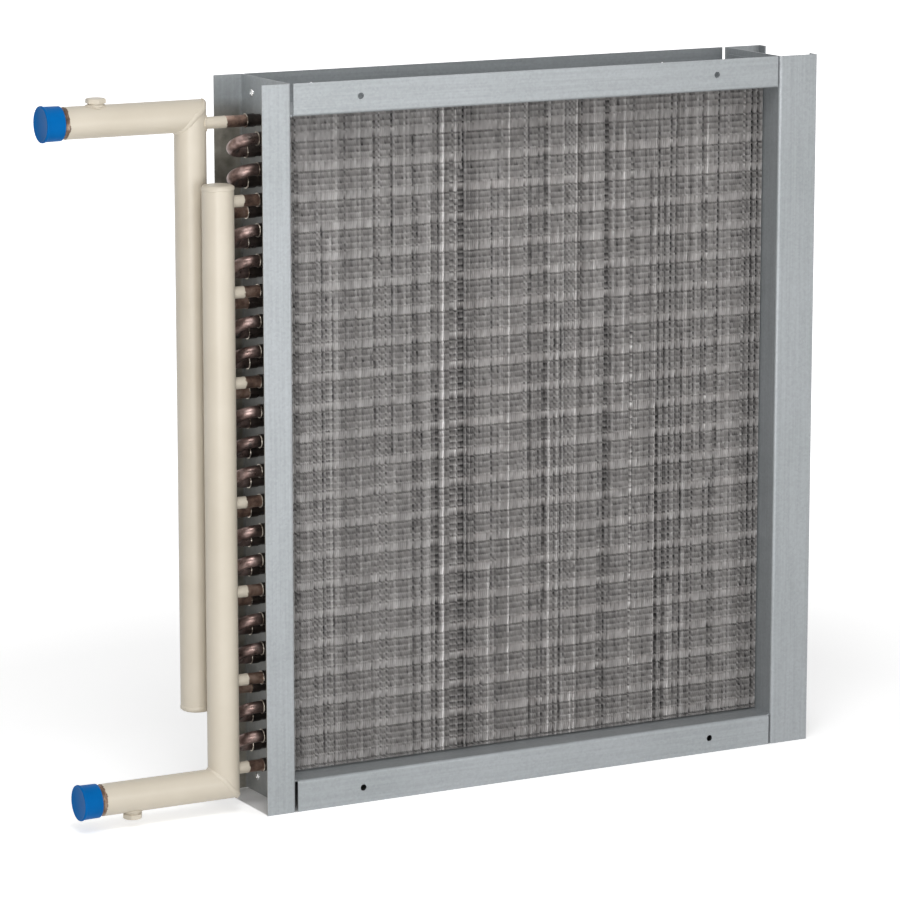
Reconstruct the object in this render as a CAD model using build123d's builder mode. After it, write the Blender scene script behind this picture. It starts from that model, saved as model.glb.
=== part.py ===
from build123d import *

import os
from math import cos, hypot, pi, sin

# Duct water heating coil: two staggered rows of copper tubes, expanded into
# aluminium fins, in a folded galvanised casing, with a supply header in front
# and a return header behind it on the left.
# Millimetres. +X runs along the tubes to the plain end, +Y goes with the view
# into the coil, +Z is up. The origin is the middle of the base of the whole.

# Tubes and fins
tube_od = 12.7
tube_pitch = 31.75
row_pitch = 27.5
circuit_tube_counts = (6, 6, 6, 8, 6, 6, 6)
fin_pitch = 2.5
fin_thickness = 0.2
fin_end_gap = 2.25
fin_casing_gap = 1.9
hairpin_straight = 3.0
tube_stickout = 16.8
return_bend_straight = 4.2

# The tubes repeat so often that each is drawn with flats and mitred bends
tube_sides = 8
bend_mitres = 4

# Casing of folded sheet
sheet = 1.5
fold_inside = 1.8
air_width = 592.0
casing_depth = 115.5
left_flange = 33.3
right_flange = 47.5
return_lip = 12.5
channel_flange = 34.0
channel_end_relief = 2.5
tab_width = 92.0
tab_height = 27.0
flange_hole = 7.0
flange_hole_spacing = 431.8
flange_hole_edge = 16.5

# Rivets that join the casing's corners
rivet_head = 8.0
rivet_head_height = 1.6
rivet_head_taper = 30.0
rivet_shank = 4.0
rivet_tail = 2.4
rivet_sides = 8
rivet_spacing = 63.0
rivet_from_edge = 18.0

# Headers and their connections
header_od = 33.7
header_wall = 3.2
header_row_offset = 6.2
supply_header_out = 33.0
return_header_out = 45.0
supply_axis_height = 31.5
return_axis_drop = 36.3
header_overrun = 20.0
end_plate = 4.5
end_plate_chamfer = 2.5
stub_od = 12.7
pipe_run = 141.0
thread_od = 33.1
thread_length = 24.0

# Plastic protective caps
cap_gap = 0.3
cap_wall = 1.0
cap_end = 1.5
cap_length = 21.0
cap_rim = 0.9
cap_rim_length = 2.5
cap_sides = 20

# Vent and drain: welded boss, washer and hexagon plug
boss_od = 17.5
boss_proud = 0.8
boss_run = 105.5
plug_thread = 13.2
plug_running_gap = 0.05
plug_thread_length = 5.3
plug_hexagon = 19.0
plug_head = 5.3
plug_chamfer = 0.8
vent_plug_turn = 24.0
drain_plug_turn = 0.0
washer_od = 17.0
washer_gap = 0.3
washer_thickness = 1.0
washer_sides = 12

# Worked out: the tube bundle
tubes = sum(circuit_tube_counts)
circuit_ends = [sum(circuit_tube_counts[: i + 1]) for i in range(len(circuit_tube_counts))]
circuit_starts = [end - count + 1 for end, count in zip(circuit_ends, circuit_tube_counts)]
tube_step = tube_pitch / 2
bend_span = hypot(row_pitch, tube_step)
fin_height = tubes * tube_step
fin_depth = 2 * row_pitch
fin_count = int((air_width - 2 * fin_end_gap) / fin_pitch) + 1

# Worked out: the casing
casing_height = fin_height + 2 * (channel_flange + fin_casing_gap)
fold_outside = fold_inside + sheet

# Worked out: the headers, measured from the middle of the air opening
connection_reach = pipe_run + thread_length + cap_gap + cap_end
left_edge = air_width / 2 + left_flange
right_edge = air_width / 2 + right_flange
left_reach = left_edge + max(supply_header_out, return_header_out) + connection_reach
air_mid = (left_reach - right_edge) / 2
casing_left = air_mid - left_edge
left_web = air_mid - air_width / 2
right_web = air_mid + air_width / 2
tube_end = left_web - sheet - tube_stickout
top_tube = casing_height - channel_flange - fin_casing_gap - tube_pitch / 4
header_bore = header_od - 2 * header_wall
washer_bore = plug_thread + 2 * washer_gap


def tube_level(number):
    """Height of a tube's axis; tubes are numbered from 1 at the top."""
    return top_tube - (number - 1) * tube_step


def tube_row(number):
    """Depth of a tube's axis: odd tubes are in the back row, even ones in front."""
    return row_pitch / 2 if number % 2 else -row_pitch / 2


def bend_plane(number):
    """Plane through a tube and the next one below it, local x along the tubes."""
    middle_z = (tube_level(number) + tube_level(number + 1)) / 2
    across = Vector(0, tube_row(number), tube_step / 2)
    return Plane(origin=(0, 0, middle_z), x_dir=(1, 0, 0), z_dir=Vector(1, 0, 0).cross(across))


def tube_run(plane, end, bend_centre):
    """Path of two parallel tubes and their bend, from one tube's end to the other's."""
    radius = bend_span / 2
    turn = pi / bend_mitres
    out = 1 if bend_centre > end else -1
    corners = [
        (
            bend_centre + out * radius / cos(turn / 2) * sin((i + 0.5) * turn),
            radius / cos(turn / 2) * cos((i + 0.5) * turn),
        )
        for i in range(bend_mitres)
    ]
    with BuildLine(plane) as run:
        Polyline((end, radius), *corners, (end, -radius))
    return run.line


def finish(piece, name):
    """Names a piece and writes it."""
    piece.label = name
    export_step(piece, f"parts/{name}.step")


os.makedirs("parts", exist_ok=True)

# Left tube sheet: a channel with its flanges turned away from the fins
with BuildPart() as left_tube_sheet:
    with BuildSketch(Plane.XY) as left_profile:
        with Locations((casing_left + left_flange / 2, 0)):
            Rectangle(left_flange, casing_depth)
        with Locations((casing_left + (left_flange - sheet) / 2, 0)):
            Rectangle(left_flange - sheet, casing_depth - 2 * sheet, mode=Mode.SUBTRACT)
        corners = left_profile.vertices().group_by(Axis.X)
        fillet(corners[-1], fold_outside)
        fillet(corners[-2], fold_inside)
    extrude(amount=casing_height)
finish(left_tube_sheet.part, "left_tube_sheet")

# Right tube sheet: a wider channel, whose flanges end in lips folded inwards
with BuildPart() as right_tube_sheet:
    with BuildSketch(Plane.XY) as right_profile:
        with Locations((right_web + right_flange / 2, 0)):
            Rectangle(right_flange, casing_depth)
            Rectangle(right_flange - 2 * sheet, casing_depth - 2 * sheet, mode=Mode.SUBTRACT)
        with Locations((right_web + right_flange - sheet / 2, 0)):
            Rectangle(sheet, casing_depth - 2 * return_lip, mode=Mode.SUBTRACT)
        corners = right_profile.vertices().group_by(Axis.X)
        fillet(corners[0], fold_outside)
        fillet(corners[1], fold_inside)
        lip_ends = corners[-2].sort_by(Axis.Y)
        fillet([lip_ends[0], lip_ends[-1]], fold_inside)
        lip_corners = corners[-1].sort_by(Axis.Y)
        fillet([lip_corners[0], lip_corners[-1]], fold_outside)
    extrude(amount=casing_height)
finish(right_tube_sheet.part, "right_tube_sheet")

# Top channel: flanges up, end tabs riveted to the tube sheets
channel_web = casing_height - channel_flange
with BuildPart() as top_channel:
    with BuildSketch(Plane.YZ.offset(left_web)) as channel_profile:
        with Locations((0, channel_web + channel_flange / 2)):
            Rectangle(casing_depth, channel_flange)
        with Locations((0, channel_web + (channel_flange + sheet) / 2)):
            Rectangle(casing_depth - 2 * sheet, channel_flange - sheet, mode=Mode.SUBTRACT)
        corners = channel_profile.vertices().group_by(Axis.Y)
        fillet(corners[0], fold_outside)
        fillet(corners[1], fold_inside)
    extrude(amount=air_width)
    # The flanges stop short of the tube sheets
    with BuildSketch(Plane.XZ):
        with Locations((air_mid, channel_web + channel_flange / 2)):
            Rectangle(air_width, channel_flange)
            Rectangle(air_width - 2 * channel_end_relief, channel_flange, mode=Mode.SUBTRACT)
    extrude(amount=casing_depth, both=True, mode=Mode.SUBTRACT)
    # The web and its tabs reach the tube sheets
    web_width = casing_depth - 2 * fold_outside
    with Locations((air_mid, 0, channel_web + sheet / 2)):
        Box(air_width, web_width, sheet)
    with Locations((left_web + sheet / 2, 0, channel_web), (right_web - sheet / 2, 0, channel_web)):
        Box(sheet, tab_width, tab_height, align=(Align.CENTER, Align.CENTER, Align.MIN))
    with BuildSketch(Plane.XZ):
        with Locations((air_mid, casing_height - flange_hole_edge)):
            with GridLocations(flange_hole_spacing, 0, 2, 1):
                Circle(flange_hole / 2)
    extrude(amount=casing_depth, both=True, mode=Mode.SUBTRACT)
finish(top_channel.part, "top_channel")

# Bottom channel: the same, turned over
with BuildPart() as bottom_channel:
    mirror(top_channel.part, about=Plane.XY.offset(casing_height / 2))
finish(bottom_channel.part, "bottom_channel")

# Fins: thin plates on a close pitch, carried by the tubes alone
with BuildPart() as fin_pack:
    with BuildSketch(Plane.XY.offset(channel_flange + fin_casing_gap)):
        with Locations((air_mid, 0)):
            with GridLocations(fin_pitch, 0, fin_count, 1):
                Rectangle(fin_thickness, fin_depth)
    extrude(amount=fin_height)
finish(fin_pack.part, "fin_pack")

# Hairpins: two tubes and the bend at the plain end, all alike
hairpin_path = tube_run(bend_plane(1), tube_end, right_web + sheet + hairpin_straight)
with BuildPart() as hairpin:
    with BuildSketch(Plane(origin=hairpin_path @ 0, z_dir=(1, 0, 0))):
        RegularPolygon(tube_od / 2, tube_sides, major_radius=False)
    sweep(path=hairpin_path, transition=Transition.RIGHT)
with BuildPart() as hairpin_tubes:
    with Locations([(0, 0, -i * tube_pitch) for i in range(tubes // 2)]):
        add(hairpin.part)
finish(hairpin_tubes.part, "hairpin_tubes")

# Return bends: each carries a circuit from one hairpin to the next
bend_path = tube_run(bend_plane(2), tube_end, tube_end - return_bend_straight)
with BuildPart() as return_bend:
    with BuildSketch(Plane(origin=bend_path @ 0, z_dir=(-1, 0, 0))):
        RegularPolygon(tube_od / 2, tube_sides, major_radius=False)
    sweep(path=bend_path, transition=Transition.RIGHT)
bend_tubes = [number for number in range(2, tubes, 2) if number not in circuit_ends]
with BuildPart() as return_bends:
    with Locations([(0, 0, tube_level(number) - tube_level(2)) for number in bend_tubes]):
        add(return_bend.part)
finish(return_bends.part, "return_bends")


def header_set(side, axis_x, axis_y, elbow_z, last_z, fed_tubes, boss_name, plug_turn):
    """One header with its connection. It leaves its elbow towards last_z, its last stub."""
    up = 1 if last_z > elbow_z else -1
    header_end = last_z + up * (header_overrun - end_plate)
    boss_out = elbow_z - up * (header_od / 2 + boss_proud)
    mitre = Plane(origin=(axis_x, axis_y, elbow_z), z_dir=(1, 0, up))
    pipe_axis = Plane(origin=(axis_x, axis_y, elbow_z), x_dir=(0, 1, 0), z_dir=(-1, 0, 0))
    boss_x = axis_x - boss_run

    # Header tube, cut at 45 degrees at its elbow
    with BuildPart() as header:
        with BuildSketch(Plane.XY.offset(elbow_z - up * header_od)):
            with Locations((axis_x, axis_y)):
                Circle(header_od / 2)
                Circle(header_bore / 2, mode=Mode.SUBTRACT)
        extrude(amount=header_end - elbow_z + up * header_od)
        split(bisect_by=mitre, keep=Keep.TOP)
    finish(header.part, f"{side}_header")

    # Connection pipe, cut to match, threaded at its end, with the hole that the boss is welded into
    with BuildPart() as pipe:
        with BuildSketch(pipe_axis.offset(-header_od)):
            Circle(header_od / 2)
            Circle(header_bore / 2, mode=Mode.SUBTRACT)
        extrude(amount=pipe_run + header_od)
        split(bisect_by=mitre, keep=Keep.BOTTOM)
        with BuildSketch(Plane.XY.offset(elbow_z)):
            with Locations((boss_x, axis_y)):
                Circle(boss_od / 2)
        extrude(amount=-up * header_od, mode=Mode.SUBTRACT)
        with BuildSketch(pipe_axis.offset(pipe_run)):
            Circle(thread_od / 2)
            Circle(header_bore / 2, mode=Mode.SUBTRACT)
        extrude(amount=thread_length)
    finish(pipe.part, f"{side}_pipe")

    # Stubs, saddled on the header, each running to the tube that it feeds
    with BuildPart() as stubs:
        for number in fed_tubes:
            stub_plane = Plane(origin=(axis_x, tube_row(number), tube_level(number)), z_dir=(1, 0, 0))
            with BuildSketch(stub_plane):
                RegularPolygon(stub_od / 2, tube_sides, major_radius=False)
        extrude(amount=tube_end - axis_x)
        with Locations((axis_x, axis_y, casing_height / 2)):
            Cylinder(header_od / 2, casing_height, mode=Mode.SUBTRACT)
    finish(stubs.part, f"{side}_stubs")

    # Protective cap, pushed over the thread, with a rim round its closed end
    cap_outside = thread_od / 2 + cap_gap + cap_wall
    cap_face = pipe_run + thread_length + cap_gap + cap_end
    with BuildPart() as cap:
        with BuildSketch(pipe_axis.offset(cap_face - cap_length)):
            RegularPolygon(cap_outside, cap_sides, major_radius=False)
        extrude(amount=cap_length)
        with BuildSketch(pipe_axis.offset(cap_face - cap_rim_length)):
            RegularPolygon(cap_outside + cap_rim, cap_sides, major_radius=False)
        extrude(amount=cap_rim_length)
        with BuildSketch(pipe_axis.offset(cap_face - cap_end)):
            RegularPolygon(cap_outside - cap_wall, cap_sides, major_radius=False)
        extrude(amount=-cap_length, mode=Mode.SUBTRACT)
    finish(cap.part, f"{side}_cap")

    # Sealing washer between the boss and the plug's head
    with BuildPart() as washer:
        with BuildSketch(Plane.XY.offset(boss_out)):
            with Locations((boss_x, axis_y)):
                RegularPolygon(washer_od / 2, washer_sides, major_radius=False)
                RegularPolygon(washer_bore / 2, washer_sides, major_radius=False, mode=Mode.SUBTRACT)
        extrude(amount=-up * washer_thickness)
    finish(washer.part, f"{boss_name}_washer")

    # Plug with a hexagon head
    head_seat = boss_out - up * washer_thickness
    with BuildPart() as plug:
        with BuildSketch(Plane.XY.offset(head_seat)):
            with Locations((boss_x, axis_y)):
                RegularPolygon(plug_hexagon / 2, 6, major_radius=False, rotation=plug_turn)
        extrude(amount=-up * plug_head)
        chamfer(plug.faces().sort_by(Axis.Z)[0 if up > 0 else -1].edges(), plug_chamfer)
        with BuildSketch(Plane.XY.offset(head_seat)):
            with Locations((boss_x, axis_y)):
                Circle(plug_thread / 2)
        extrude(amount=up * (washer_thickness + plug_thread_length))
    finish(plug.part, f"{boss_name}_plug")


# Supply header in front: fed at the bottom, with the drain
supply_x = casing_left - supply_header_out
supply_y = -row_pitch / 2 - header_row_offset
supply_z = supply_axis_height
supply_last = tube_level(circuit_ends[0])
header_set("supply", supply_x, supply_y, supply_z, supply_last, circuit_ends, "drain", drain_plug_turn)

# Return header behind: leaves at the top, with the vent
return_x = casing_left - return_header_out
return_y = row_pitch / 2 + header_row_offset
return_z = casing_height - return_axis_drop
return_last = tube_level(circuit_starts[-1])
header_set("return", return_x, return_y, return_z, return_last, circuit_starts, "vent", vent_plug_turn)

# Plates that close the headers' free ends
with BuildPart() as end_plates:
    for x, y, last_z, up in ((supply_x, supply_y, supply_last, 1), (return_x, return_y, return_last, -1)):
        with BuildSketch(Plane.XY.offset(last_z + up * (header_overrun - end_plate))):
            with Locations((x, y)):
                Circle(header_od / 2)
        extrude(amount=up * end_plate)
    plate_rims = end_plates.edges().group_by(Axis.Z)
    chamfer(plate_rims[0] + plate_rims[-1], end_plate_chamfer)
finish(end_plates.part, "header_end_plates")

# Bosses, let into the pipes' walls on the side away from the headers
with BuildPart() as bosses:
    for x, y, axis_z, out in ((supply_x, supply_y, supply_z, -1), (return_x, return_y, return_z, 1)):
        with BuildSketch(Plane.XY.offset(axis_z + out * header_bore / 2)):
            with Locations((x - boss_run, y)):
                Circle(boss_od / 2)
                Circle(plug_thread / 2 + plug_running_gap, mode=Mode.SUBTRACT)
        extrude(amount=out * (header_wall + boss_proud))
finish(bosses.part, "vent_and_drain_bosses")

# Rivets through the tube sheets' webs and the channels' end tabs
rivet_heights = (rivet_from_edge, casing_height - rivet_from_edge)
for side, web, out in (("left", left_web, -1), ("right", right_web, 1)):
    head_plane = Plane(origin=(web + out * sheet, 0, casing_height / 2), x_dir=(0, 1, 0), z_dir=(out, 0, 0))
    with BuildPart() as rivets:
        with BuildSketch(head_plane):
            with GridLocations(rivet_spacing, rivet_heights[1] - rivet_heights[0], 2, 2):
                RegularPolygon(rivet_head / 2, rivet_sides, major_radius=False)
        extrude(amount=rivet_head_height, taper=rivet_head_taper)
        with BuildSketch(head_plane):
            with GridLocations(rivet_spacing, rivet_heights[1] - rivet_heights[0], 2, 2):
                RegularPolygon(rivet_shank / 2, rivet_sides, major_radius=False)
        extrude(amount=-2 * sheet - rivet_tail)
    finish(rivets.part, f"{side}_rivets")
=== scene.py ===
import math
import random

import bpy
import numpy as np
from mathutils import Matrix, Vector

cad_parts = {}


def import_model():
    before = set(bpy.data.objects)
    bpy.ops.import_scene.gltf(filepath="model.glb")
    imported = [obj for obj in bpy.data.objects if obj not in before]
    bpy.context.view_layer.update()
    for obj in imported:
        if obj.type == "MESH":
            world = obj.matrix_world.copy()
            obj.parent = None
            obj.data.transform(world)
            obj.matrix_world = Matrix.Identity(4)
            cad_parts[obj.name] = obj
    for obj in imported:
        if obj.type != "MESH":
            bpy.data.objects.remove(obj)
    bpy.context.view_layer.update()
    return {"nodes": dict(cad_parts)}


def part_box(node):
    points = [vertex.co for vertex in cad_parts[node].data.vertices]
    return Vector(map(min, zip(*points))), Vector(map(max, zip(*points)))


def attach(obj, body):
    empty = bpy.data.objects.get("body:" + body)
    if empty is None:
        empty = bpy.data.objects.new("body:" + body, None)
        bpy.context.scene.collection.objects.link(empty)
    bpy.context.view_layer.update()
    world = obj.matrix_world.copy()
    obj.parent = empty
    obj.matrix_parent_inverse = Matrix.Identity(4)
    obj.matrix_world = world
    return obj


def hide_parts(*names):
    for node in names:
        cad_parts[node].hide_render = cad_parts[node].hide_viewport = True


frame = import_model()
steady = np.random.default_rng(7)

mm = 0.001

# Camera, at the photograph's viewing angle
camera_place = (-2.154, -4.013, 1.2434)
camera_turn = math.radians(28.43)
camera_tilt = math.radians(10.96)
camera_lens = 173.06
sensor_width = 36.0
camera_reach = 100

# Tubes and circuits, as the solids have them
tube_radius = 6.35 * mm
circuit_tube_counts = (6, 6, 6, 8, 6, 6, 6)
hairpin_straight = 3.0 * mm
return_bend_straight = 4.2 * mm
sheet = 1.5 * mm
tube_sides = 28
bend_steps = 18

# Places read from the frame
fins_low, fins_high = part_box("fin_pack")
left_sheet_low, left_sheet_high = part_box("left_tube_sheet")
right_sheet_low, right_sheet_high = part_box("right_tube_sheet")
hairpins_low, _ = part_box("hairpin_tubes")
tubes = sum(circuit_tube_counts)
tube_step = (fins_high.z - fins_low.z) / tubes
top_tube = fins_high.z - tube_step / 2
row_offset = (fins_high.y - fins_low.y) / 4
tube_end = hairpins_low.x
bend_radius = math.hypot(2 * row_offset, tube_step) / 2
circuit_ends = [sum(circuit_tube_counts[: i + 1]) for i in range(len(circuit_tube_counts))]
circuit_starts = [end - count + 1 for end, count in zip(circuit_ends, circuit_tube_counts)]


# Materials

cream = (0.63, 0.57, 0.47)


def principled(name, colour, roughness, metallic=0.0, **sockets):
    """A node material with its shader, and the tree that a finish is added to."""
    material = bpy.data.materials.new(name)
    material.use_nodes = True
    tree = material.node_tree
    shader = tree.nodes["Principled BSDF"]
    shader.inputs["Base Color"].default_value = (*colour, 1)
    shader.inputs["Roughness"].default_value = roughness
    shader.inputs["Metallic"].default_value = metallic
    for socket, value in sockets.items():
        shader.inputs[socket.replace("_", " ")].default_value = value
    return material, tree, shader


def node(tree, kind, **settings):
    made = tree.nodes.new(kind)
    for key, value in settings.items():
        if key in made.inputs:
            made.inputs[key].default_value = value
        else:
            setattr(made, key, value)
    return made


def coordinates(tree, scale=(1, 1, 1)):
    """Object coordinates, in metres, stretched by scale."""
    place = node(tree, "ShaderNodeTexCoord")
    mapping = node(tree, "ShaderNodeMapping", Scale=scale)
    tree.links.new(place.outputs["Object"], mapping.inputs["Vector"])
    return mapping.outputs["Vector"]


def noise(tree, vector, scale, detail=3.0, roughness=0.5):
    made = node(tree, "ShaderNodeTexNoise", Scale=scale, Detail=detail, Roughness=roughness)
    tree.links.new(vector, made.inputs["Vector"])
    return made.outputs["Fac"]


def ramp(tree, value, stops):
    """A colour ramp; stops are (position, colour)."""
    made = node(tree, "ShaderNodeValToRGB")
    elements = made.color_ramp.elements
    while len(elements) < len(stops):
        elements.new(0.5)
    for element, (position, colour) in zip(elements, stops):
        element.position = position
        element.color = (*colour, 1)
    tree.links.new(value, made.inputs["Fac"])
    return made.outputs["Color"]


def span(tree, value, low, high, to_low, to_high):
    """Maps a value's range to another."""
    made = node(tree, "ShaderNodeMapRange")
    made.inputs["From Min"].default_value = low
    made.inputs["From Max"].default_value = high
    made.inputs["To Min"].default_value = to_low
    made.inputs["To Max"].default_value = to_high
    tree.links.new(value, made.inputs["Value"])
    return made.outputs["Result"]


def product(tree, first, second):
    made = node(tree, "ShaderNodeMath", operation="MULTIPLY")
    tree.links.new(first, made.inputs[0])
    tree.links.new(second, made.inputs[1])
    return made.outputs[0]


def blend_colours(tree, factor, first, second, mode="MIX"):
    made = node(tree, "ShaderNodeMix", data_type="RGBA", blend_type=mode)
    for socket, value in ((0, factor), (6, first), (7, second)):
        if isinstance(value, (tuple, float, int)):
            made.inputs[socket].default_value = value
        else:
            tree.links.new(value, made.inputs[socket])
    return made.outputs[2]


def axis_values(tree, place):
    """A vector's X, Y and Z."""
    axes = node(tree, "ShaderNodeSeparateXYZ")
    tree.links.new(place, axes.inputs[0])
    return axes.outputs


def ragged_x(tree, place, wander, scale, detail, roughness=0.5):
    """X plus noise that wanders so far, for the edge of a finish."""
    ragged = node(tree, "ShaderNodeMath", operation="MULTIPLY_ADD")
    ragged.inputs[1].default_value = wander
    tree.links.new(noise(tree, place, scale, detail, roughness), ragged.inputs[0])
    tree.links.new(axis_values(tree, place)["X"], ragged.inputs[2])
    return ragged.outputs[0]


def bump(tree, shader, height, strength, distance):
    made = node(tree, "ShaderNodeBump", Strength=strength, Distance=distance)
    tree.links.new(height, made.inputs["Height"])
    tree.links.new(made.outputs["Normal"], shader.inputs["Normal"])


def flame_stain_and_painted_shade(tree, place):
    """How far the brazing flame browned the left tube sheet, with painted shade mixed in: most on its flanges'
    inner faces and less on the web, below the fins' top, where the headers and bends shade the sheet.
    """
    axes = axis_values(tree, place)
    across = node(tree, "ShaderNodeMath", operation="ABSOLUTE")
    tree.links.new(axes["Y"], across.inputs[0])
    outer_face, air_face = left_sheet_high.y, left_sheet_high.x
    blur = 12 * mm
    inside = span(tree, across.outputs[0], outer_face - 0.9 * mm, outer_face - 0.4 * mm, 1, 0)
    headers_side = span(tree, axes["X"], air_face - 0.9 * mm, air_face - 0.4 * mm, 1, 0)
    below_top = span(tree, axes["Z"], fins_high.z - blur, fins_high.z + blur, 1, 0)
    flanges_most = span(tree, axes["X"], air_face - 5 * mm, air_face - 1.7 * mm, 1, 0.35)
    return product(tree, product(tree, inside, headers_side), product(tree, below_top, flanges_most))


def galvanised(name, rolled, heat_tint_and_painted_shade=False):
    """Hot-dipped sheet with a faint spangle and its rolling grain; the stain option adds the flame's stain together
    with painted shade.
    """
    material, tree, shader = principled(name, (0.35, 0.369, 0.38), 0.45, 0.4)
    place = coordinates(tree)
    crystals = node(tree, "ShaderNodeTexVoronoi", Scale=420.0, Randomness=1.0)
    tree.links.new(place, crystals.inputs["Vector"])
    tone = node(tree, "ShaderNodeSeparateColor")
    tree.links.new(crystals.outputs["Color"], tone.inputs[0])
    spangle = ramp(tree, tone.outputs[0], ((0.0, (0.33, 0.348, 0.358)), (1.0, (0.365, 0.386, 0.397))))
    cloud = ramp(tree, noise(tree, place, 7.0, 6.0), ((0.3, (0.94, 0.95, 0.95)), (0.7, (1.04, 1.04, 1.05))))
    colour = blend_colours(tree, 1.0, spangle, cloud, "MULTIPLY")
    grain = noise(tree, coordinates(tree, rolled), 420.0, 2.0)
    streaks = ramp(tree, grain, ((0.35, (0.95, 0.95, 0.95)), (0.65, (1.04, 1.04, 1.04))))
    colour = blend_colours(tree, 1.0, colour, streaks, "MULTIPLY")
    if heat_tint_and_painted_shade:
        # Dark brown on the left tube sheet's inner faces: part heat tint, part painted shade under the headers and
        # between the bends
        stain_and_painted_shade = ramp(tree, noise(tree, place, 60.0, 4.0), ((0.3, (0.15, 0.14, 0.115)), (0.75, (0.40, 0.38, 0.33))))
        colour = blend_colours(tree, flame_stain_and_painted_shade(tree, place), colour, stain_and_painted_shade)
    tree.links.new(colour, shader.inputs["Base Color"])
    tree.links.new(span(tree, tone.outputs[1], 0, 1, 0.40, 0.5), shader.inputs["Roughness"])
    bump(tree, shader, noise(tree, place, 500.0, 3.0), 0.05, 0.0003)
    return material


def fin_stock():
    """Mill-finish aluminium, each fin a little lighter or darker than the next, with painted highlights and painted
    shade from the fins' shade attribute.
    """
    material, tree, shader = principled("fin_aluminium", (0.6, 0.58, 0.57), 0.42, 0.35)
    shade = node(tree, "ShaderNodeAttribute", attribute_name="fin_tone_and_painted_light")
    # From near black for painted shade to near white for painted highlights
    fin_tone_and_light_colours = ramp(tree, shade.outputs["Fac"], (
        (0.0, (0.015, 0.014, 0.014)),
        (0.25, (0.25, 0.24, 0.235)),
        (0.5, (0.52, 0.50, 0.49)),
        (1.0, (1.0, 0.985, 0.975)),
    ))
    tree.links.new(fin_tone_and_light_colours, shader.inputs["Base Color"])
    return material


def copper():
    """Copper after brazing: dull pink-brown, near-black by the left tube sheet's web, partly flame soot and partly
    painted shade between the bends.
    """
    material, tree, shader = principled("copper", (0.4, 0.24, 0.2), 0.38, 0.75)
    place = coordinates(tree)
    patches = ramp(tree, noise(tree, place, 55.0, 5.0, 0.6), (
        (0.32, (0.05, 0.038, 0.034)),
        (0.50, (0.20, 0.135, 0.12)),
        (0.72, (0.56, 0.42, 0.39)),
    ))
    along = axis_values(tree, place)["X"]
    # Near-black by the web on the headers' side: flame soot plus painted shade where the bends crowd the sheet
    near_web = span(tree, along, tube_end - 9 * mm, tube_end + 1 * mm, 0, 0.85)
    left_half = span(tree, along, 0, 10 * mm, 1, 0)
    soot_and_painted_shade = (0.02, 0.018, 0.015, 1)
    patches = blend_colours(tree, product(tree, near_web, left_half), patches, soot_and_painted_shade)
    tree.links.new(patches, shader.inputs["Base Color"])
    tree.links.new(span(tree, noise(tree, place, 120.0), 0.3, 0.7, 0.24, 0.5), shader.inputs["Roughness"])
    bump(tree, shader, noise(tree, place, 260.0, 4.0), 0.12, 0.0004)
    return material


def cream_paint(name="painted_steel", bare_to=None):
    """Soft gloss cream paint with a slight orange peel, worn off in a ragged edge up to x = bare_to."""
    material, tree, shader = principled(name, cream, 0.4, Coat_Weight=0.1, Coat_Roughness=0.25)
    place = coordinates(tree)
    tint = ramp(tree, noise(tree, place, 18.0, 4.0), (
        (0.3, (0.60, 0.54, 0.44)),
        (0.7, (0.645, 0.585, 0.485)),
    ))
    if bare_to is not None:
        edge = ragged_x(tree, place, 9 * mm, 130.0, 5.0, 0.6)
        painted = span(tree, edge, bare_to + 4.4 * mm, bare_to + 4.9 * mm, 0, 1)
        bare_steel = (0.13, 0.085, 0.06, 1)
        tint = blend_colours(tree, painted, bare_steel, tint)
    tree.links.new(tint, shader.inputs["Base Color"])
    bump(tree, shader, noise(tree, place, 180.0, 2.0), 0.08, 0.0006)
    return material


def stub_finish(paint_end):
    """Paint from the header to a ragged edge at x = paint_end, bare copper from there on."""
    material, tree, shader = principled("stub_finish", (0.4, 0.24, 0.2), 0.4)
    place = coordinates(tree)
    edge = ragged_x(tree, place, 6 * mm, 160.0, 4.0)
    bare = span(tree, edge, paint_end + 2.6 * mm, paint_end + 3.2 * mm, 0, 1)
    patches = ramp(tree, noise(tree, place, 55.0, 5.0, 0.6), (
        (0.32, (0.06, 0.042, 0.034)),
        (0.50, (0.28, 0.18, 0.14)),
        (0.70, (0.58, 0.42, 0.34)),
    ))
    colour = blend_colours(tree, bare, (*cream, 1), patches)
    tree.links.new(colour, shader.inputs["Base Color"])
    tree.links.new(span(tree, bare, 0, 1, 0, 0.75), shader.inputs["Metallic"])
    bump(tree, shader, noise(tree, place, 200.0, 4.0), 0.12, 0.0005)
    return material


def braze():
    """Silver-brass brazing metal, bright in places."""
    material, tree, shader = principled("braze", (0.75, 0.68, 0.55), 0.3, 0.9)
    place = coordinates(tree)
    tint = ramp(tree, noise(tree, place, 90.0, 4.0), ((0.42, (0.12, 0.09, 0.07)), (0.64, (0.80, 0.74, 0.64))))
    tree.links.new(tint, shader.inputs["Base Color"])
    return material


def thread_steel():
    """Bare pipe thread, browned by cutting oil and a little rust."""
    material, tree, shader = principled("thread_steel", (0.2, 0.13, 0.1), 0.4, 0.7)
    place = coordinates(tree)
    tint = ramp(tree, noise(tree, place, 70.0, 5.0, 0.65), (
        (0.3, (0.05, 0.036, 0.03)),
        (0.5, (0.16, 0.10, 0.07)),
        (0.72, (0.36, 0.28, 0.22)),
    ))
    tree.links.new(tint, shader.inputs["Base Color"])
    return material


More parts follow.
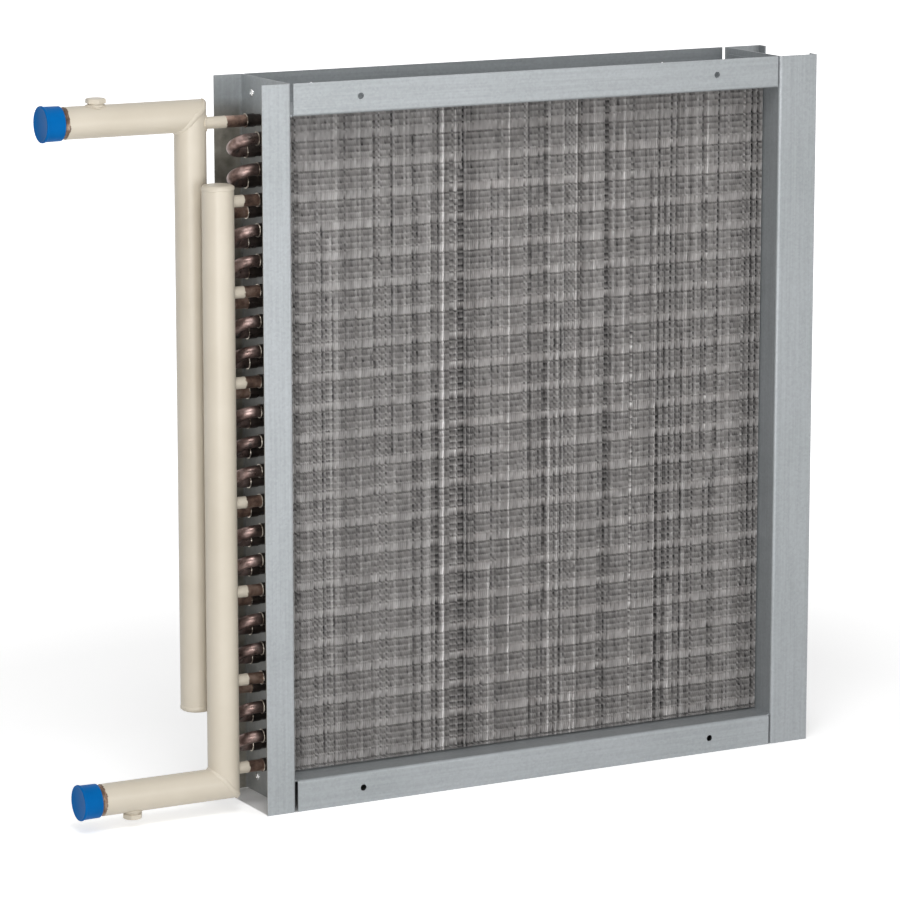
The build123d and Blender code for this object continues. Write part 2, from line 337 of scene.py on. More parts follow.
def blue_plastic():
    """Moulded polyethylene, slightly waxy."""
    material, tree, shader = principled("blue_plastic", (0.0, 0.13, 0.39), 0.45, Specular_IOR_Level=0.06)
    place = coordinates(tree)
    tint = ramp(tree, noise(tree, place, 45.0, 3.0), ((0.3, (0.0, 0.12, 0.39)), (0.7, (0.0, 0.14, 0.45))))
    tree.links.new(tint, shader.inputs["Base Color"])
    bump(tree, shader, noise(tree, place, 150.0, 2.0), 0.05, 0.0004)
    return material


def rivet_metal():
    """Bright zinc on the rivet heads."""
    material, tree, shader = principled("rivet_steel", (0.75, 0.75, 0.74), 0.25, 0.95)
    place = coordinates(tree)
    tint = ramp(tree, noise(tree, place, 200.0, 3.0), ((0.3, (0.6, 0.6, 0.6)), (0.7, (0.85, 0.85, 0.84))))
    tree.links.new(tint, shader.inputs["Base Color"])
    return material


rolled_upright, rolled_across = (1, 1, 0.02), (0.02, 1, 1)
sheet_finishes = {
    # The left tube sheet carries the flame stain with painted shade
    "left_tube_sheet": galvanised("galvanised_sheet_heat_tinted_and_painted_shade", rolled_upright, heat_tint_and_painted_shade=True),
    "right_tube_sheet": galvanised("galvanised_tube_sheet", rolled_upright),
    "top_channel": galvanised("galvanised_channel", rolled_across),
}
sheet_finishes["bottom_channel"] = sheet_finishes["top_channel"]
fin_finish = fin_stock()
copper_finish = copper()
paint_finish = cream_paint()
braze_finish = braze()
thread_finish = thread_steel()
plastic_finish = blue_plastic()
rivet_finish = rivet_metal()


# Meshes

on_axis = 0.001 * mm


class Surface:
    """Points and faces gathered from several lofts into one mesh."""

    def __init__(self):
        self.points = []
        self.faces = []
        self.materials = []

    def loft(self, rings, capped=True, joined=False, material=0):
        """Bridges rings of equally many points; joined closes the last ring to the first."""
        first = len(self.points)
        sides = len(rings[0])
        for ring in rings:
            self.points.extend(tuple(point) for point in ring)
        count = len(rings)
        before = len(self.faces)
        for row in range(count if joined else count - 1):
            low = first + row * sides
            high = first + (row + 1) % count * sides
            for i in range(sides):
                j = (i + 1) % sides
                self.faces.append((low + i, low + j, high + j, high + i))
        if capped and not joined:
            self.faces.append(tuple(first + i for i in reversed(range(sides))))
            self.faces.append(tuple(first + (count - 1) * sides + i for i in range(sides)))
        self.materials.extend([material] * (len(self.faces) - before))

    def piece(self, name, body, *finishes, sharp=40.0):
        """Makes the mesh, smooth but for edges sharper than an angle in degrees."""
        mesh = bpy.data.meshes.new(name)
        mesh.from_pydata(self.points, [], self.faces)
        mesh.polygons.foreach_set("use_smooth", [True] * len(mesh.polygons))
        mesh.polygons.foreach_set("material_index", self.materials)
        mesh.set_sharp_from_angle(angle=math.radians(sharp))
        for finish in finishes:
            mesh.materials.append(finish)
        mesh.validate()
        made = bpy.data.objects.new(name, mesh)
        bpy.context.scene.collection.objects.link(made)
        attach(made, body)
        return made


def ring(centre, across, up, radius, sides):
    """Points round a centre in the plane of two unit vectors."""
    points = []
    for i in range(sides):
        angle = 2 * math.pi * i / sides
        points.append(centre + across * (radius * math.cos(angle)) + up * (radius * math.sin(angle)))
    return points


def axes_for(direction):
    """Two unit vectors square to a direction, right-handed with it."""
    direction = direction.normalized()
    helper = Vector((0, 0, 1)) if abs(direction.z) < 0.9 else Vector((0, 1, 0))
    across = helper.cross(direction).normalized()
    return across, direction.cross(across)


def lathe(surface, origin, direction, profile, sides, joined=False, material=0):
    """Turns a profile of (along, radius) about a line."""
    direction = Vector(direction).normalized()
    across, up = axes_for(direction)
    rings = [ring(origin + direction * along, across, up, radius, sides) for along, radius in profile]
    surface.loft(rings, joined=joined, material=material)


def sweep(surface, path, radii, sides):
    """A round tube along points, its rings square to the path."""
    rings = []
    across = None
    for i, point in enumerate(path):
        ahead = path[min(i + 1, len(path) - 1)] - path[max(i - 1, 0)]
        direction = ahead.normalized()
        if across is None:
            across, up = axes_for(direction)
        else:
            across = (across - direction * across.dot(direction)).normalized()
            up = direction.cross(across)
        rings.append(ring(point, across, up, radii[i], sides))
    surface.loft(rings)


def tube_level(number):
    return top_tube - (number - 1) * tube_step


def tube_row(number):
    return row_offset if number % 2 else -row_offset


def hairpin_path(number, end, bend_centre):
    """Two parallel tubes, number and the next below, and the round bend between them."""
    out = 1 if bend_centre > end else -1
    middle = Vector((0, 0, (tube_level(number) + tube_level(number + 1)) / 2))
    across = Vector((0, tube_row(number), tube_step / 2)).normalized()
    along = Vector((out, 0, 0))
    start = middle + Vector((end, 0, 0))
    centre = middle + Vector((bend_centre, 0, 0))
    path = [start + across * bend_radius]
    for i in range(bend_steps + 1):
        angle = math.pi * i / bend_steps
        path.append(centre + across * (bend_radius * math.cos(angle)) + along * (bend_radius * math.sin(angle)))
    path.append(start - across * bend_radius)
    return path


# Fins

fin_pitch = 2.5 * mm
fin_thickness = 0.2 * mm
front_strip = 1.7 * mm
pale_band = 6.8 * mm
# Fins left of this x are a little lighter than those right of it, and the fin at the step has its front strip bent
# aside
lighter_fins_end = -4 * mm
left_fin_shade, right_fin_shade = 0.64, 0.6
step_edge_bend = 0.9 * mm

# One tube pitch of ripples, from the pale band's lower edge down: drop and sideways place in mm, and change of
# shade, which paints highlights on the crests and the pale band and shade in the troughs and the line below the
# band
ripples = (
    (2.0, 0.5, -0.27),
    (1.6, -0.3, 0.07), (4.8, 0.5, -0.22),
    (1.6, -0.3, 0.09), (4.8, 0.5, -0.19),
    (1.6, -0.3, 0.10), (4.8, 0.5, -0.14),
    (1.4, -0.2, 0.09), (2.35, 0.2, 0.08),
    (6.8, -0.6, 0.15),
)


def fin_profile():
    """Heights, sideways places and painted light and shade of a fin's ripples, from its top edge down."""
    heights, offsets, ripple_light_changes = [], [], []
    for number in range(0, tubes + 2, 2):
        level = tube_level(number) - pale_band / 2
        for drop, offset, change in ripples:
            level -= drop * mm
            heights.append(level)
            offsets.append(offset * mm)
            ripple_light_changes.append(change)
    inner = [level for level in heights if fins_low.z + 0.3 * mm < level < fins_high.z - 0.3 * mm]
    levels = np.array([fins_high.z, *inner, fins_low.z])
    waves, ripple_light_and_shade = (np.interp(levels, heights[::-1], values[::-1]) for values in (offsets, ripple_light_changes))
    return levels, waves, ripple_light_and_shade


def knocked_edge(levels):
    """How far a fin's front strip was bent aside in handling, along its height."""
    bend = steady.normal(0, 0.08) * mm + 0 * levels
    if steady.random() < 0.15:
        height = levels[0] - levels[-1]
        low = levels[-1] + steady.uniform(-0.5, 0.7) * height
        high = low + steady.uniform(0.25, 1.3) * height
        amount = steady.choice((-1, 1)) * steady.uniform(0.45, 0.95) * mm
        bend = np.where((levels > low) & (levels < high), amount, bend)
    return bend


def grain_and_painted_dashes(levels):
    """Change of shade along a fin's height: a random grain, and on some fins painted shade and painted highlights
    as dark and bright dashes on the ripples.
    """
    change = steady.normal(0, 0.085, len(levels))
    if steady.random() < 0.40:
        troughs = np.arange(len(levels)) % 2 == 0
        height = levels[0] - levels[-1]
        low = levels[-1] + steady.uniform(-0.6, 0.5) * height
        reach = (levels > low) & (levels < low + steady.uniform(0.5, 1.5) * height)
        # Dark dashes paint the shade of wide gaps between fins, bright dashes paint the glint of bent edges
        dark, bright = ((-0.6, 0), (0, 0.4), (-0.5, 0.4), (-0.6, 0.1))[steady.integers(4)]
        dashes = np.where(troughs, dark, bright) * steady.uniform(0.65, 1.0)
        change = change + np.where(reach, dashes, 0)
    return change


def fin_pack():
    """All fins in one mesh: closed rippled plates, a little uneven from one to the next."""
    levels, waves, ripple_light_and_shade = fin_profile()
    count = int(round((fins_high.x - fins_low.x - fin_thickness) / fin_pitch)) + 1
    rows = len(levels)
    height = fins_high.z - fins_low.z
    half = fin_thickness / 2
    row_front, row_bend, row_back = fins_low.y, fins_low.y + front_strip, fins_high.y
    points, faces, shades = [], [], []
    for k in range(count):
        middle = fins_low.x + half + k * fin_pitch
        sway = np.zeros(rows)
        bend = np.zeros(rows)
        if 0 < k < count - 1:
            for wave in (1.2, 2.7, 5.3):
                start = steady.uniform(0, 2 * math.pi)
                amount = steady.normal(0, 0.07) * mm
                sway += amount * np.sin(2 * math.pi * wave * (levels - fins_low.z) / height + start)
            bend = knocked_edge(levels)
            if abs(middle - lighter_fins_end) < fin_pitch / 2:
                bend = step_edge_bend + 0 * levels
        plate = middle + waves + sway
        outline = [(plate + bend, row_front), (plate, row_bend), (plate, row_back)]
        if abs(bend).max() < 0.3 * mm:
            outline = [(plate + bend, row_front), (plate, row_back)]
        corners = [(x + half, y) for x, y in outline] + [(x - half, y) for x, y in reversed(outline)]
        sides = len(corners)
        first = len(points)
        grid = np.empty((rows, sides, 3))
        for corner, (x, y) in enumerate(corners):
            grid[:, corner, 0] = np.clip(x, fins_low.x, fins_high.x)
            grid[:, corner, 1] = y
            grid[:, corner, 2] = levels
        points.extend(grid.reshape(-1, 3).tolist())
        fin_base_shade = left_fin_shade if middle < lighter_fins_end else right_fin_shade
        # Each fin's random tone plus the ripples' painted highlights and shade and the painted dashes
        shade = np.clip(steady.normal(fin_base_shade, 0.07) + ripple_light_and_shade + grain_and_painted_dashes(levels), 0, 1)
        shades.extend(np.repeat(shade, sides).tolist())
        for row in range(rows - 1):
            high = first + row * sides
            low = high + sides
            for i in range(sides):
                j = (i + 1) % sides
                faces.append((high + j, high + i, low + i, low + j))
        faces.append(tuple(first + i for i in range(sides)))
        faces.append(tuple(first + (rows - 1) * sides + i for i in reversed(range(sides))))
    mesh = bpy.data.meshes.new("fin_stack")
    mesh.from_pydata(points, [], faces)
    mesh.polygons.foreach_set("use_smooth", [True] * len(mesh.polygons))
    mesh.set_sharp_from_angle(angle=math.radians(12))
    # Per point: random tone, painted light and painted shade
    shade_layer = mesh.attributes.new("fin_tone_and_painted_light", "FLOAT", "POINT")
    shade_layer.data.foreach_set("value", shades)
    mesh.materials.append(fin_finish)
    made = bpy.data.objects.new("fin_stack", mesh)
    bpy.context.scene.collection.objects.link(made)
    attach(made, "casing")
    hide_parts("fin_pack")


# Tubes

bell_radius = 7.15 * mm
bell_length = 11.0 * mm
bell_lip = 0.6 * mm
bell_flare = 1.5 * mm
inserted = 6.0 * mm
bell_spread = 0.15 * mm
braze_radius = 0.65 * mm
braze_clear = 0.55 * mm


def hairpins():
    """Round hairpins with a belled socket at each open end."""
    surface = Surface()
    bend_centre = right_sheet_low.x + sheet + hairpin_straight
    for number in range(1, tubes, 2):
        path = hairpin_path(number, tube_end, bend_centre)
        ends = []
        for point, sign in ((path[0], 1), (path[-1], -1)):
            stops = (0, bell_lip, bell_length - bell_flare, bell_length)
            ends.append([point + Vector((stop, 0, 0)) for stop in stops][::sign])
        radii_in = [bell_radius + bell_spread, bell_radius, bell_radius, tube_radius]
        radii = radii_in + [tube_radius] * (len(path) - 2) + radii_in[::-1]
        sweep(surface, ends[0] + path[1:-1] + ends[1], radii, tube_sides)
    made = surface.piece("hairpin_bundle", "casing", copper_finish)
    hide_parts("hairpin_tubes")


def return_bends():
    surface = Surface()
    bend_centre = tube_end - return_bend_straight
    for number in range(2, tubes, 2):
        if number in circuit_ends:
            continue
        path = hairpin_path(number, tube_end + inserted, bend_centre)
        sweep(surface, path, [tube_radius * 0.995] * len(path), tube_sides)
    made = surface.piece("return_bend_set", "casing", copper_finish)
    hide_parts("return_bends")


def braze_rings():
    """A small bead of brazing metal where each bend or stub enters its socket."""
    surface = Surface()
    for number in range(1, tubes + 1):
        centre = Vector((tube_end, tube_row(number), tube_level(number)))
        profile = []
        for i in range(8):
            angle = 2 * math.pi * i / 8
            profile.append((braze_radius * math.cos(angle),
                            tube_radius + braze_clear + braze_radius * math.sin(angle)))
        lathe(surface, centre, (1, 0, 0), profile, 24, joined=True)
    made = surface.piece("braze_beads", "casing", braze_finish, sharp=80)


# Headers

header_sides = 64
weld_half_width = 3.0 * mm
weld_height = 1.0 * mm
weld_sunk = 0.3 * mm
plate_corner = 3.4 * mm
plate_dome = 0.6 * mm
thread_pitch = 2.309 * mm
thread_depth = 0.75 * mm
thread_length = 24.0 * mm
boss_run = 105.5 * mm
boss_proud = 0.8 * mm
wall = 3.2 * mm
wall_entered = 3 * mm
corner_outside = 4.0 * mm
corner_inside = 2.0 * mm
paint_step = 0.4 * mm
turn_steps = 8


def header_axis(side):
    """A header's x, y and radius, its elbow's height, its free end, which way that points, and its pipe's mouth."""
    low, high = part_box(side + "_header")
    pipe_low, pipe_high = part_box(side + "_pipe")
    x = (low.x + high.x) / 2
    y = (low.y + high.y) / 2
    radius = (high.x - low.x) / 2
    up = 1 if side == "supply" else -1
    elbow = (pipe_low.z + pipe_high.z) / 2
    end = high.z if up > 0 else low.z
    return x, y, radius, elbow, end, up, pipe_low.x


def mitre_ring(centre, radius, up, sides):
    """The ellipse where the header and the pipe meet."""
    points = []
    for i in range(sides):
        angle = 2 * math.pi * i / sides
        x = radius * math.cos(angle)
        points.append(Vector((centre.x + x, centre.y + radius * math.sin(angle), centre.z - up * x)))
    return points


def corner_point(centre, radius, up, angle, share):
    """A point on the rounded elbow, at a share of the way from the header to the pipe."""
    size = corner_inside + (corner_outside - corner_inside) * (1 + math.cos(angle)) / 2
    x = radius * math.cos(angle)
    turn = math.pi / 2 * share
    return Vector((
        centre.x + x - size + size * math.cos(turn),
        centre.y + radius * math.sin(angle),
        centre.z - up * x + up * size - up * size * math.sin(turn),
    ))


def corner_ring(centre, radius, up, share, sides):
    return [corner_point(centre, radius, up, 2 * math.pi * i / sides, share) for i in range(sides)]


def header_tube(side):
    x, y, radius, elbow, end, up, _ = header_axis(side)
    centre, free_end = Vector((x, y, elbow)), Vector((x, y, end))
    surface = Surface()
    outer_top = ring(free_end, Vector((1, 0, 0)), Vector((0, 1, 0)), radius, header_sides)
    elbow_rings = [corner_ring(centre, radius, up, share, header_sides) for share in (0, 0.17, 0.33, 0.5)]
    inner = mitre_ring(centre, radius - wall, up, header_sides)
    inner_top = ring(free_end, Vector((1, 0, 0)), Vector((0, 1, 0)), radius - wall, header_sides)
    surface.loft([outer_top, *elbow_rings, inner, inner_top], joined=True)
    made = surface.piece(side + "_header_tube", "casing", paint_finish)
    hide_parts(side + "_header")


def pipe_ring(x, centre, radius, up, sides):
    """A ring square to the pipe, its points matched to the mitre's."""
    points = []
    for i in range(sides):
        angle = 2 * math.pi * i / sides
        points.append(Vector((x, centre.y + radius * math.sin(angle), centre.z - up * radius * math.cos(angle))))
    return points


def connection_pipe(side):
    """The pipe from the elbow to its threaded mouth."""
    x, y, radius, elbow, _, up, mouth = header_axis(side)
    centre = Vector((x, y, elbow))
    surface = Surface()
    elbow_rings = [corner_ring(centre, radius, up, share, header_sides) for share in (0.5, 0.67, 0.83, 1)]
    inner = mitre_ring(centre, radius - wall, up, header_sides)
    shoulder = mouth + thread_length

    def level(x_place, r):
        return pipe_ring(x_place, centre, r, up, header_sides)

    surface.loft([*elbow_rings, level(shoulder + paint_step, radius), level(shoulder, radius - paint_step)], False)
    # The thread, as a helix of ridges
    rows = []
    steps = int(thread_length / thread_pitch * turn_steps)
    for step in range(steps + 1):
        along = shoulder - thread_length * step / steps
        points = []
        for i in range(header_sides):
            angle = 2 * math.pi * i / header_sides
            turn = ((shoulder - along) / thread_pitch + i / header_sides) % 1
            ridge = abs(2 * turn - 1)
            fade = min(1, step / turn_steps, (steps - step) / (0.7 * turn_steps))
            r = radius - paint_step - thread_depth * ridge * fade
            points.append(Vector((along, centre.y + r * math.sin(angle), centre.z - up * r * math.cos(angle))))
        rows.append(points)
    surface.loft(rows, False, material=1)
    surface.loft([rows[-1], level(mouth, radius - wall), inner, elbow_rings[0]], False)
    worn_paint = cream_paint("painted_pipe", bare_to=shoulder)
    made = surface.piece(side + "_connection", "casing", worn_paint, thread_finish)
    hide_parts(side + "_pipe")


def bead(surface, path_point, count, half_width, height, bumps, seed):
    """A closed weld bead; path_point(angle) gives a point, the way out and the way across the seam."""
    shaky = random.Random(seed)
    phase = [shaky.uniform(0, 2 * math.pi) for _ in range(4)]
    rings = []
    sides = 10
    for i in range(count):
        angle = 2 * math.pi * i / count
        point, outward, sideways = path_point(angle)
        swell = 1 + 0.12 * math.sin(bumps * angle + phase[0]) + 0.10 * math.sin(3 * angle + phase[1])
        shift = 0.25 * half_width * math.sin(5 * angle + phase[2])
        section = []
        for k in range(sides):
            turn = 2 * math.pi * k / sides
            section.append(point + sideways * (half_width * math.cos(turn) + shift)
                           + outward * (height * swell * math.sin(turn)))
        rings.append(section)
    surface.loft(rings, joined=True)


def welds(side):
    x, y, radius, elbow, end, up, _ = header_axis(side)
    centre = Vector((x, y, elbow))
    surface = Surface()

    def at_mitre(angle):
        outward = Vector((math.cos(angle), math.sin(angle), -up * math.cos(angle))).normalized()
        point = corner_point(centre, radius, up, angle, 0.5)
        tangent = Vector((-math.sin(angle), math.cos(angle), up * math.sin(angle))).normalized()
        return point - outward * weld_sunk, outward, tangent.cross(outward)

    def at_end(angle):
        outward = Vector((math.cos(angle), math.sin(angle), 0))
        return Vector((x, y, end)) + outward * (radius - weld_sunk), outward, Vector((0, 0, 1))

    bead(surface, at_mitre, 120, weld_half_width, weld_height, 31, 3 + up)
    bead(surface, at_end, 96, 2.2 * mm, 0.8 * mm, 37, 11 + up)
    made = surface.piece(side + "_weld_beads", "casing", paint_finish, sharp=80)


def end_plates():
    """Slightly domed plates on the headers' free ends."""
    low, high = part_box("header_end_plates")
    surface = Surface()
    for side, tip in (("supply", high.z), ("return", low.z)):
        x, y, radius, _, end, up, _ = header_axis(side)
        thick = abs(tip - end)
        corner = min(plate_corner, thick - plate_dome)
        profile = [(0, on_axis), (0, radius)]
        for i in range(9):
            angle = math.pi / 2 * i / 8
            profile.append((thick - plate_dome - corner + corner * math.sin(angle),
                            radius - corner + corner * math.cos(angle)))
        for share in (0.66, 0.33):
            profile.append((thick - plate_dome * share ** 2, (radius - plate_corner) * share))
        profile.append((thick, on_axis))
        lathe(surface, Vector((x, y, end)), (0, 0, up), profile, header_sides)
    made = surface.piece("domed_end_plates", "casing", paint_finish)
    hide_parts("header_end_plates")


def stubs(side, numbers):
    """Stubs from the header to the belled tubes, a little thicker where the paint ends."""
    x, y, radius, *_ = header_axis(side)
    paint_end = left_sheet_low.x - (2 * mm if side == "supply" else 8 * mm)
    finish = stub_finish(paint_end)
    surface = Surface()
    for number in numbers:
        row, level = tube_row(number), tube_level(number)
        start = x + math.sqrt(max(radius ** 2 - (row - y) ** 2, 0)) - wall_entered
        stops = [
            (start, 1.0), (paint_end - 2.5 * mm, 1.0), (paint_end - 1.2 * mm, 1.03),
            (paint_end, 1.03), (paint_end + 1.2 * mm, 0.99), (tube_end + inserted, 0.99),
        ]
        path = [Vector((stop, row, level)) for stop, _ in stops]
        sweep(surface, path, [tube_radius * factor for _, factor in stops], tube_sides)
    made = surface.piece(side + "_stub_set", "casing", finish)
    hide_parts(side + "_stubs")


def saddle_welds(side, numbers):
    """The weld round each stub, lying on the header's curve."""
    x, y, radius, *_ = header_axis(side)
    surface = Surface()
    for number in numbers:
        row, level = tube_row(number), tube_level(number)

        def at_saddle(angle):
            reach = tube_radius + 0.5 * mm
            py, pz = row + reach * math.cos(angle), level + reach * math.sin(angle)
            dy = py - y
            px = x + math.sqrt(max(radius ** 2 - dy ** 2, 0.0))
            outward = Vector((math.sqrt(max(1 - (dy / radius) ** 2, 0)), dy / radius, 0))
            side_way = Vector((0, math.cos(angle), math.sin(angle)))
            return Vector((px, py, pz)) - outward * 0.2 * mm, outward, side_way

        bead(surface, at_saddle, 48, 1.7 * mm, 1.2 * mm, 13, number)
    made = surface.piece(side + "_stub_welds", "casing", paint_finish, sharp=80)


# Caps, plugs and rivets

cap_sides = 72
cap_rim = 0.9 * mm
cap_wall = 1.0 * mm
cap_end = 1.5 * mm
plug_hexagon = 19.0 * mm
plug_pitch = 1.337 * mm
plug_root, plug_crest, plug_point = 6.0 * mm, 6.55 * mm, 6.5 * mm
washer_bore, washer_edge = 6.9 * mm, 0.25 * mm
washer_flats = 12
boss_radius, boss_bore, boss_edge = 8.75 * mm, 6.65 * mm, 0.5 * mm
rivet_radius = 4.0 * mm
plug_turns = {"vent": math.radians(24), "drain": 0.0}


def cap(side):
    low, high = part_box(side + "_cap")
    middle = (low + high) / 2
    rim = (high.z - low.z) / 2
    length = high.x - low.x
    outside = rim - cap_rim
    inside = outside - cap_wall
    profile = [
        (0.9 * mm, on_axis),
        (0.9 * mm, rim * 0.80),
        (0.25 * mm, rim * 0.90),
        (0.0, rim * 0.95),
        (0.25 * mm, rim * 0.985),
        (0.9 * mm, rim),
        (1.9 * mm, rim),
        (2.7 * mm, rim - 0.35 * mm),
        (3.6 * mm, outside + 0.1 * mm),
        (length - 0.6 * mm, outside - 0.15 * mm),
        (length - 0.15 * mm, outside - 0.3 * mm),
        (length, outside - 0.6 * mm),
        (length - 0.15 * mm, inside + 0.05 * mm),
        (2.4 * mm, inside),
        (cap_end, inside - 0.8 * mm),
        (cap_end, on_axis),
    ]
    surface = Surface()
    lathe(surface, Vector((low.x, middle.y, middle.z)), (1, 0, 0), profile, cap_sides)
    made = surface.piece(side + "_plastic_cap", side + "_cap", plastic_finish, sharp=50)
    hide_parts(side + "_cap")


def hexagon(radius, corner, sides=72):
    """How far a hexagon with blunt corners reaches, all the way round."""
    outline = []
    for i in range(sides):
        angle = 2 * math.pi * i / sides
        fold = (angle % (math.pi / 3)) - math.pi / 6
        outline.append(min(radius / math.cos(fold), corner))
    return outline


def plug(name, up):
    low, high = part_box(name + "_plug")
    middle = (low + high) / 2
    flat = plug_hexagon / 2
    washer_low, washer_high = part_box(name + "_washer")
    seat = washer_high.z if up > 0 else washer_low.z
    tip = high.z if up > 0 else low.z
    foot = low.z if up > 0 else high.z
    head = abs(tip - seat)
    outline = hexagon(flat, flat / math.cos(math.pi / 6) * 0.985)
    surface = Surface()

    def ring_at(height, shrink, cap_radius=None):
        points = []
        for i, reach in enumerate(outline):
            angle = 2 * math.pi * i / len(outline) + up * plug_turns[name]
            r = reach * shrink if cap_radius is None else min(reach * shrink, cap_radius)
            points.append(Vector((middle.x + r * math.cos(angle), middle.y + up * r * math.sin(angle),
                                  seat + up * height)))
        return points

    surface.loft([
        ring_at(0, 0.96),
        ring_at(0.35 * mm, 1.0),
        ring_at(head - 1.1 * mm, 1.0),
        ring_at(head - 0.5 * mm, 1.0, flat * 1.03),
        ring_at(head - 0.1 * mm, 1.0, flat * 0.97),
        ring_at(head, 1.0, flat * 0.92),
    ])
    # Threaded shank
    shank = [(0, on_axis), (0, plug_root)]
    depth = abs(seat - foot)
    turns = int(depth / plug_pitch)
    for i in range(turns):
        shank.append(((i + 0.25) * depth / turns, plug_crest))
        shank.append(((i + 0.75) * depth / turns, plug_root))
    shank.append((depth, plug_point))
    shank.append((depth, on_axis))
    lathe(surface, Vector((middle.x, middle.y, foot)), (0, 0, up), shank, 48, material=1)
    made = surface.piece(name + "_hexagon_plug", name + "_plug", paint_finish, rivet_finish, sharp=28)
    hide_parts(name + "_plug")


def washer(name, up):
    low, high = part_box(name + "_washer")
    middle = (low + high) / 2
    outside = (high.y - low.y) / 2 * math.cos(math.pi / washer_flats)
    thick = high.z - low.z
    profile = [
        (0, washer_bore), (0, outside - washer_edge), (washer_edge, outside),
        (thick - washer_edge, outside), (thick, outside - washer_edge), (thick, washer_bore),
    ]
    surface = Surface()
    lathe(surface, Vector((middle.x, middle.y, low.z)), (0, 0, 1), profile, 60, joined=True)
    made = surface.piece(name + "_seal", name + "_washer", paint_finish)
    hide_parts(name + "_washer")


def bosses():
    """The two bosses, each with its weld on the pipe."""
    surface = Surface()
    for name, side in (("drain", "supply"), ("vent", "return")):
        x, y, radius, elbow, _, up, _ = header_axis(side)
        out = -up
        boss_x = x - boss_run
        low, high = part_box(name + "_washer")
        face = low.z if out > 0 else high.z
        origin = Vector((boss_x, y, face))
        profile = [
            (0, boss_bore), (0, boss_radius - boss_edge), (-boss_edge, boss_radius),
            (-wall - boss_proud, boss_radius), (-wall - boss_proud, boss_bore),
        ]
        lathe(surface, origin, (0, 0, out), profile, 60, joined=True)

        def at_foot(angle):
            reach = boss_radius + 0.3 * mm
            side_way = Vector((math.cos(angle), math.sin(angle), 0))
            px, py = boss_x + reach * math.cos(angle), y + reach * math.sin(angle)
            dy = py - y
            pz = elbow + out * math.sqrt(max(radius ** 2 - dy ** 2, 0))
            outward = Vector((0, dy / radius, out * math.sqrt(max(1 - (dy / radius) ** 2, 0))))
            return Vector((px, py, pz)) - outward * 0.1 * mm, outward, side_way

        bead(surface, at_foot, 60, 1.6 * mm, 1.0 * mm, 17, 21 + up)
    made = surface.piece("welded_bosses", "casing", paint_finish, sharp=50)
    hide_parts("vent_and_drain_bosses")


def rivets(side):
    """Domed blind-rivet heads, with the mandrel's pit and the set tail behind."""
    low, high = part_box(side + "_rivets")
    out = -1 if side == "left" else 1
    web = left_sheet_high.x if side == "left" else right_sheet_low.x
    face = web + out * sheet
    rise = abs((low.x if side == "left" else high.x) - face)
    head = [(0, on_axis), (0, rivet_radius)]
    for i in range(1, 7):
        angle = math.pi / 2 * i / 7
        head.append((rise * math.sin(angle), rivet_radius * math.cos(angle) ** 0.6))
    head += [(rise, 1.2 * mm), (rise * 0.6, 1.0 * mm), (rise * 0.6, on_axis)]
    tail = [(0, on_axis), (0, 2.6 * mm), (1.4 * mm, 2.9 * mm), (2.2 * mm, 2.0 * mm), (2.4 * mm, on_axis)]
    surface = Surface()
    for y in (low.y + rivet_radius, high.y - rivet_radius):
        for z in (low.z + rivet_radius, high.z - rivet_radius):
            lathe(surface, Vector((face, y, z)), (out, 0, 0), head, 32)
            lathe(surface, Vector((web - out * sheet, y, z)), (-out, 0, 0), tail, 24)
    made = surface.piece(side + "_rivet_set", "casing", rivet_finish, sharp=45)
    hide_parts(side + "_rivets")


# Put it together

for name, finish in sheet_finishes.items():
    shown = frame["nodes"][name]
    shown.data.materials.clear()
    shown.data.materials.append(finish)

fin_pack()
hairpins()
return_bends()
braze_rings()
for side, fed in (("supply", circuit_ends), ("return", circuit_starts)):
    header_tube(side)
    connection_pipe(side)
    welds(side)
    stubs(side, fed)
    saddle_welds(side, fed)
    cap(side)
end_plates()
bosses()
for name, up in (("drain", -1), ("vent", 1)):
    plug(name, up)
    washer(name, up)
rivets("left")
rivets("right")


# Stage, light and camera

# How strongly the floor shows white near the object, and between which distances that rises to 1
seen_near = 0.50
lit_ring = (0.7, 2.0)
ambient = 0.37
floor_reach = 40.0
floor_clear = 0.2 * mm


def seen_directly(tree):
    """1 for camera, gloss and glass rays, 0 for the light that falls on things."""
    path = node(tree, "ShaderNodeLightPath")
    total = path.outputs["Is Camera Ray"]
    for output in ("Is Glossy Ray", "Is Transmission Ray"):
        larger = node(tree, "ShaderNodeMath", operation="MAXIMUM")
        tree.links.new(total, larger.inputs[0])
        tree.links.new(path.outputs[output], larger.inputs[1])
        total = larger.outputs[0]
    return total


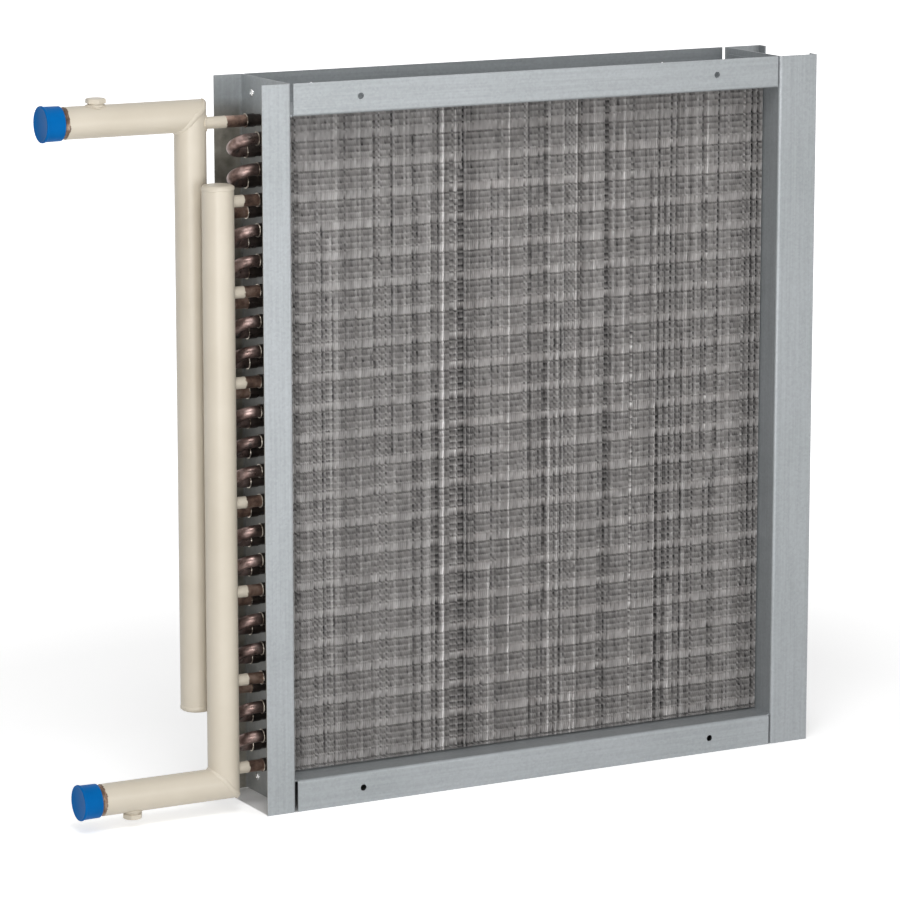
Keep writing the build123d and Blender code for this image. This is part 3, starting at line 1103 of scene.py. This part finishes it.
def floor():
    """A pale floor that holds the shadow near the object and fades to the white background."""
    mesh = bpy.data.meshes.new("floor")
    corners = [(x * floor_reach, y * floor_reach, 0) for x, y in ((-1, -1), (1, -1), (1, 1), (-1, 1))]
    mesh.from_pydata(corners, [], [(0, 1, 2, 3)])
    made = bpy.data.objects.new("floor", mesh)
    made.location.z = -floor_clear
    bpy.context.scene.collection.objects.link(made)
    material, tree, shader = principled("floor", (0.9, 0.9, 0.9), 0.9, Emission_Color=(1, 1, 1, 1))
    place = node(tree, "ShaderNodeTexCoord")
    distance = node(tree, "ShaderNodeVectorMath", operation="LENGTH")
    tree.links.new(place.outputs["Object"], distance.inputs[0])
    glow = span(tree, distance.outputs["Value"], *lit_ring, seen_near, 1)
    axes = axis_values(tree, place.outputs["Object"])
    under_casing = None
    for axis, low, high in (
        ("X", left_sheet_low.x, right_sheet_high.x),
        ("Y", left_sheet_low.y, left_sheet_high.y),
    ):
        within = node(tree, "ShaderNodeMath", operation="COMPARE")
        tree.links.new(axes[axis], within.inputs[0])
        within.inputs[1].default_value = (low + high) / 2
        within.inputs[2].default_value = (high - low) / 2 - sheet
        under_casing = within.outputs[0] if under_casing is None else product(tree, under_casing, within.outputs[0])
    open_floor = span(tree, under_casing, 0, 1, 1, 0)
    strength = product(tree, product(tree, glow, open_floor), seen_directly(tree))
    tree.links.new(strength, shader.inputs["Emission Strength"])
    mesh.materials.append(material)


def world():
    made = bpy.data.worlds.new("studio")
    made.use_nodes = True
    bpy.context.scene.world = made
    tree = made.node_tree
    background = tree.nodes["Background"]
    background.inputs["Color"].default_value = (1, 1, 1, 1)
    tree.links.new(span(tree, seen_directly(tree), 0, 1, ambient, 1), background.inputs["Strength"])


def lamp(name, place, target, size, power):
    data = bpy.data.lights.new(name, "AREA")
    data.shape = "RECTANGLE"
    data.size, data.size_y = size
    data.energy = power
    made = bpy.data.objects.new(name, data)
    made.location = place
    made.rotation_euler = (Vector(target) - Vector(place)).to_track_quat("-Z", "Y").to_euler()
    bpy.context.scene.collection.objects.link(made)


def camera():
    data = bpy.data.cameras.new("camera")
    data.lens = camera_lens
    data.sensor_width = sensor_width
    data.clip_end = camera_reach
    made = bpy.data.objects.new("camera", data)
    made.location = camera_place
    made.rotation_euler = (math.pi / 2 - camera_tilt, 0, -camera_turn)
    bpy.context.scene.collection.objects.link(made)
    bpy.context.scene.camera = made


floor()
world()
lamp("key", (0.2, -2.5, 0.55), (-0.1, 0, 0.35), (1.8, 0.9), 12)
lamp("fill", (-1.05, -1.65, 0.42), (-0.15, 0, 0.25), (0.7, 0.6), 10.2)
lamp("top", (-0.65, -1.1, 2.2), (-0.25, 0, 0.6), (0.9, 0.9), 14.5)
camera()
bpy.context.scene.view_settings.view_transform = "Standard"
